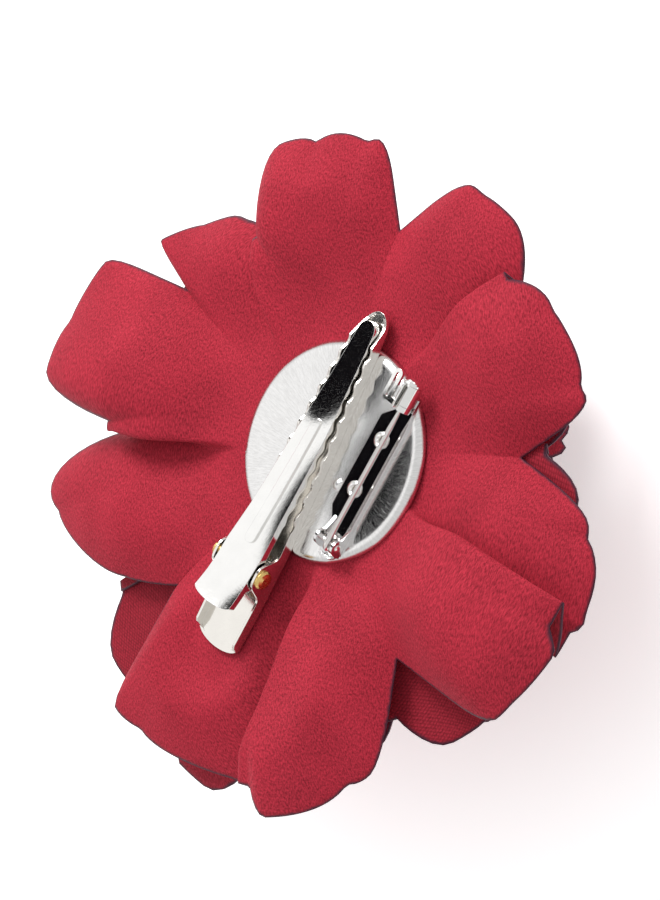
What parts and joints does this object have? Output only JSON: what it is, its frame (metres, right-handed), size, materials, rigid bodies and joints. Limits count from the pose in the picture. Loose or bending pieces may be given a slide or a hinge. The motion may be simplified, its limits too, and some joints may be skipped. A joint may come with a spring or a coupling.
{
  "type": "flower hair clip",
  "caption": "Red fabric flower on a round metal base with a sprung alligator hair clip and a brooch pin with a locking catch on its back.",
  "frame": {"origin": "centre of the base plate's back face, the face that carries the clip and the pin", "axes": "+Z out of the back, away from the flower; +Y and +X lie in the plate, the clip's tips point 59.2 degrees from +X towards +Y; the flower's front faces -Z, as it lies face down"},
  "size_m": [0.0977, 0.0908, 0.0398],
  "materials": {
    "plate": "satin brushed bright plate, slightly dished, fine concentric lines",
    "jaw": "bright nickel-plated pressed sheet",
    "lever": "bright nickel-plated pressed sheet with worn edges",
    "axle": "plain brass wire with peened ends",
    "spring": "dull drawn spring wire",
    "rivet": "plain bright rivet",
    "bar": "bright nickel-plated pressed strip",
    "needle": "polished hard wire",
    "catch": "bright nickel-plated turned barrel",
    "glue": "translucent off-white hot-melt",
    "petal_back": "red satin-backed crepe, fine twill speckle, dark heat-sealed edge",
    "petal_inner": "red satin-backed crepe, shaded, plain weave side out",
    "bud": "red satin rolled tight, heat-sealed edge",
    "thread": "dark red sewing thread"
  },
  "bodies": {
    "base": {"base_plate": "plate", "glue_pad": "glue", "clip_lower_jaw": "jaw", "clip_axle": "axle", "clip_spring": "spring", "clip_rivets": "rivet", "pin_bar": "bar", "pin_rivets": "rivet", "pin_hinge_rivet": "rivet", "catch_housing": "catch", "petal_layer_1": "petal_back", "petal_layer_2": "petal_inner", "petal_layer_3": "petal_inner", "petal_layer_4": "petal_inner", "petal_layer_5": "petal_inner", "bud_petal_outer": "bud", "bud_petal_inner": "bud", "bud_core": "bud", "center_thread": "thread"},
    "lever": {"clip_upper_jaw": "lever"},
    "needle": {"pin_needle": "needle"},
    "rotor": {"catch_rotor": "catch"}
  },
  "joints": [
    {"name": "clip_hinge", "type": "hinge", "parent": "base", "child": "lever", "pos_m": [-0.0116, -0.0152, 0.003], "axis": [0.859, -0.512, 0], "range_deg": [0, 28], "stiffness_Nm_per_rad": 0.08, "springref_deg": -45.84, "deforming": ["clip_spring"]},
    {"name": "pin_hinge", "type": "hinge", "parent": "base", "child": "needle", "pos_m": [0.00152, -0.01237, 0.00125], "axis": [0.8387, -0.5446, 0], "range_deg": [0, 90]},
    {"name": "catch_turn", "type": "hinge", "parent": "base", "child": "rotor", "pos_m": [0.01431, 0.00651, 0.0021], "axis": [0.5446, 0.8387, 0], "range_deg": [0, 90]}
  ]
}
